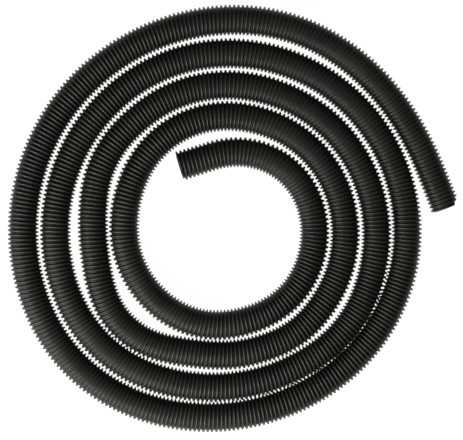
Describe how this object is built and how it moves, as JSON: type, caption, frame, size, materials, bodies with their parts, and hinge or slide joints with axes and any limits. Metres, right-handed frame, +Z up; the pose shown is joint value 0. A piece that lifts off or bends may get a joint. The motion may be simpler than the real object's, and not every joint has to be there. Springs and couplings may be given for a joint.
{
  "type": "vacuum hose",
  "caption": "Flexible ribbed vacuum hose in black plastic, laid in a flat spiral coil, with its free end running out beside the coil and its open ends cut plain.",
  "frame": {"origin": "middle of the coiled hose's outline, on the ground that it lies on", "axes": "+Z up from the ground; the hose lies in the XY plane and winds clockwise seen from above, from the inner end outwards; +X to the side where the free end runs out"},
  "size_m": [0.7172, 0.678, 0.0475],
  "materials": {
    "ribbed_hose": "black EVA plastic, extruded and wound, satin",
    "hose_web": "soft black EVA web between the rib turns, satin",
    "hose_rib": "stiffer black rib, satin with faint rubbed crests"
  },
  "bodies": {
    "root": {"hose_coil": "ribbed_hose", "hose_tail": "ribbed_hose", "inner_end_web": "hose_web", "inner_end_rib": "hose_rib", "outer_end_web": "hose_web", "outer_end_rib": "hose_rib"}
  },
  "joints": []
}
